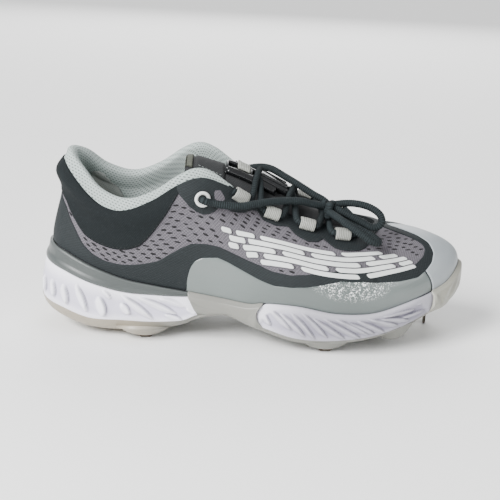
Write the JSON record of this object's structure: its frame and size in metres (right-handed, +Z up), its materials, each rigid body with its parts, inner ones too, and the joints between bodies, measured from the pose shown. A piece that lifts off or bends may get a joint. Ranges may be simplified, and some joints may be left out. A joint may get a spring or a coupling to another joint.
{
  "type": "baseball cleat",
  "caption": "Low baseball cleat for the right foot: mesh upper with panels, padded collar, foam midsole, moulded plate with steel blades, laced through webbing loops.",
  "frame": {"origin": "on the ground plane under the middle of the shoe's box, the tied lace left aside", "axes": "+X from heel to toe, +Y to the inner (medial) side of this right shoe, +Z up from the stud tips"},
  "size_m": [0.3036, 0.1164, 0.1268],
  "materials": {
    "mesh": "knitted mesh",
    "foam": "moulded foam",
    "rand": "satin",
    "lining": "felted",
    "plate": "satin moulding",
    "steel": "worn brown",
    "cap": "satin film",
    "dark_panel": "matt",
    "film": "glossy film",
    "tongue": "matt",
    "olive_webbing": "ribbed",
    "guide": "glossy",
    "lace": "ribbed cord",
    "webbing": "ribbed tape",
    "ring": "satin"
  },
  "bodies": {
    "root": {"upper": "mesh", "midsole": "foam", "heel_rand": "rand", "insole": "lining", "outsole": "plate", "blade_heel_lateral": "steel", "blade_heel_medial": "steel", "blade_heel_back": "steel", "blade_ball_lateral": "steel", "blade_ball_medial": "steel", "blade_ball_middle": "steel", "blade_toe_medial": "steel", "toe_cap": "cap", "heel_counter": "dark_panel", "collar_panel": "dark_panel", "side_film_lateral": "film", "side_film_medial": "film", "eyestay_lateral": "dark_panel", "eyestay_medial": "dark_panel", "tongue": "tongue", "tongue_webbing": "olive_webbing", "lace_guide": "guide", "lace_loop_lateral_1": "webbing", "lace_loop_medial_1": "webbing", "lace_loop_lateral_2": "webbing", "lace_loop_medial_2": "webbing", "lace_loop_lateral_3": "webbing", "lace_loop_medial_3": "webbing", "lace_loop_lateral_4": "webbing", "lace_loop_medial_4": "webbing", "eyelet_lateral": "ring", "eyelet_medial": "ring", "lace_crossings": "lace", "lace_strand_lateral": "lace", "lace_strand_medial": "lace", "lace_bow_open": "lace", "lace_bow_narrow": "lace", "lace_knot": "lace"}
  },
  "joints": []
}
